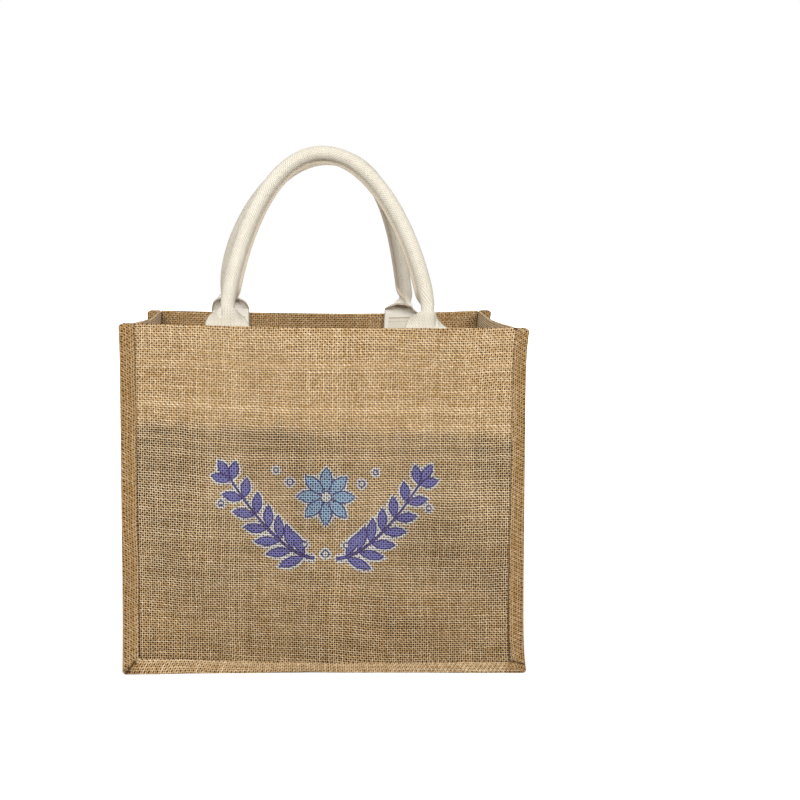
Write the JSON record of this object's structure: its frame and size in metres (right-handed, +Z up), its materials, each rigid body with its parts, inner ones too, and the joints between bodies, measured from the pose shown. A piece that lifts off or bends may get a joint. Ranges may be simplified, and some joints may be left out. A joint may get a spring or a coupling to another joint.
{
  "type": "burlap bag",
  "caption": "Open-top jute tote bag with square sides, bound seams that stand out at its corners, a hemmed mouth and padded cotton webbing handles.",
  "frame": {"origin": "on the floor, under the centre of the bag's box; the bag stands on the lower edges of its front and back seams at z = 0", "axes": "+Z up, along the bag's height; the front panel faces -Y; +X runs to the right across the front"},
  "size_m": [0.3551, 0.2066, 0.4642],
  "materials": {
    "jute": "coarse plain weave of natural jute, matt",
    "cotton": "cream cotton webbing, matt"
  },
  "bodies": {
    "root": {"front_panel": "jute", "back_panel": "jute", "gusset": "jute", "handle_front": "cotton", "handle_back": "cotton", "patch_front_left": "cotton", "patch_front_right": "cotton", "patch_back_left": "cotton", "patch_back_right": "cotton"}
  },
  "joints": []
}
